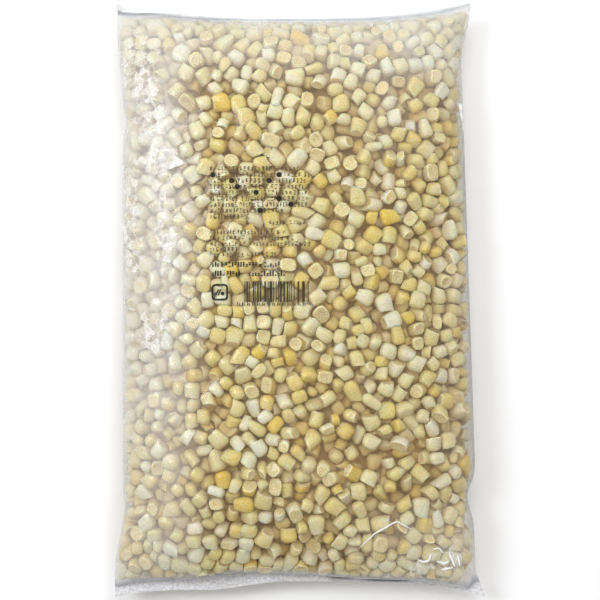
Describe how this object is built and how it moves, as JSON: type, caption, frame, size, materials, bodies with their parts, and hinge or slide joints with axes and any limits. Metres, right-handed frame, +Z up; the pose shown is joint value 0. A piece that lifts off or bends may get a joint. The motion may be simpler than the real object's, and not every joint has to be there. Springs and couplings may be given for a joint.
{
  "type": "frozen vegetable bag",
  "caption": "Clear pillow bag of frozen cut sweetcorn kernels, welded across both ends, lying flat with its printed side up.",
  "frame": {"origin": "on the surface the bag lies on, under the middle of its box", "axes": "+X to the bag's right as it is looked down on, +Y along its length towards its top end, +Z up through its thickness"},
  "size_m": [0.1822, 0.2928, 0.0413],
  "materials": {
    "clear_film": "clear glossy film, slightly hazy, over pale yellow sweetcorn",
    "sweetcorn": "pale cream to yellow frozen kernels with a soft waxy sheen",
    "dark_ink": "thin black ink printed on the film"
  },
  "bodies": {
    "root": {"filled_bag": "clear_film"}
  },
  "joints": []
}
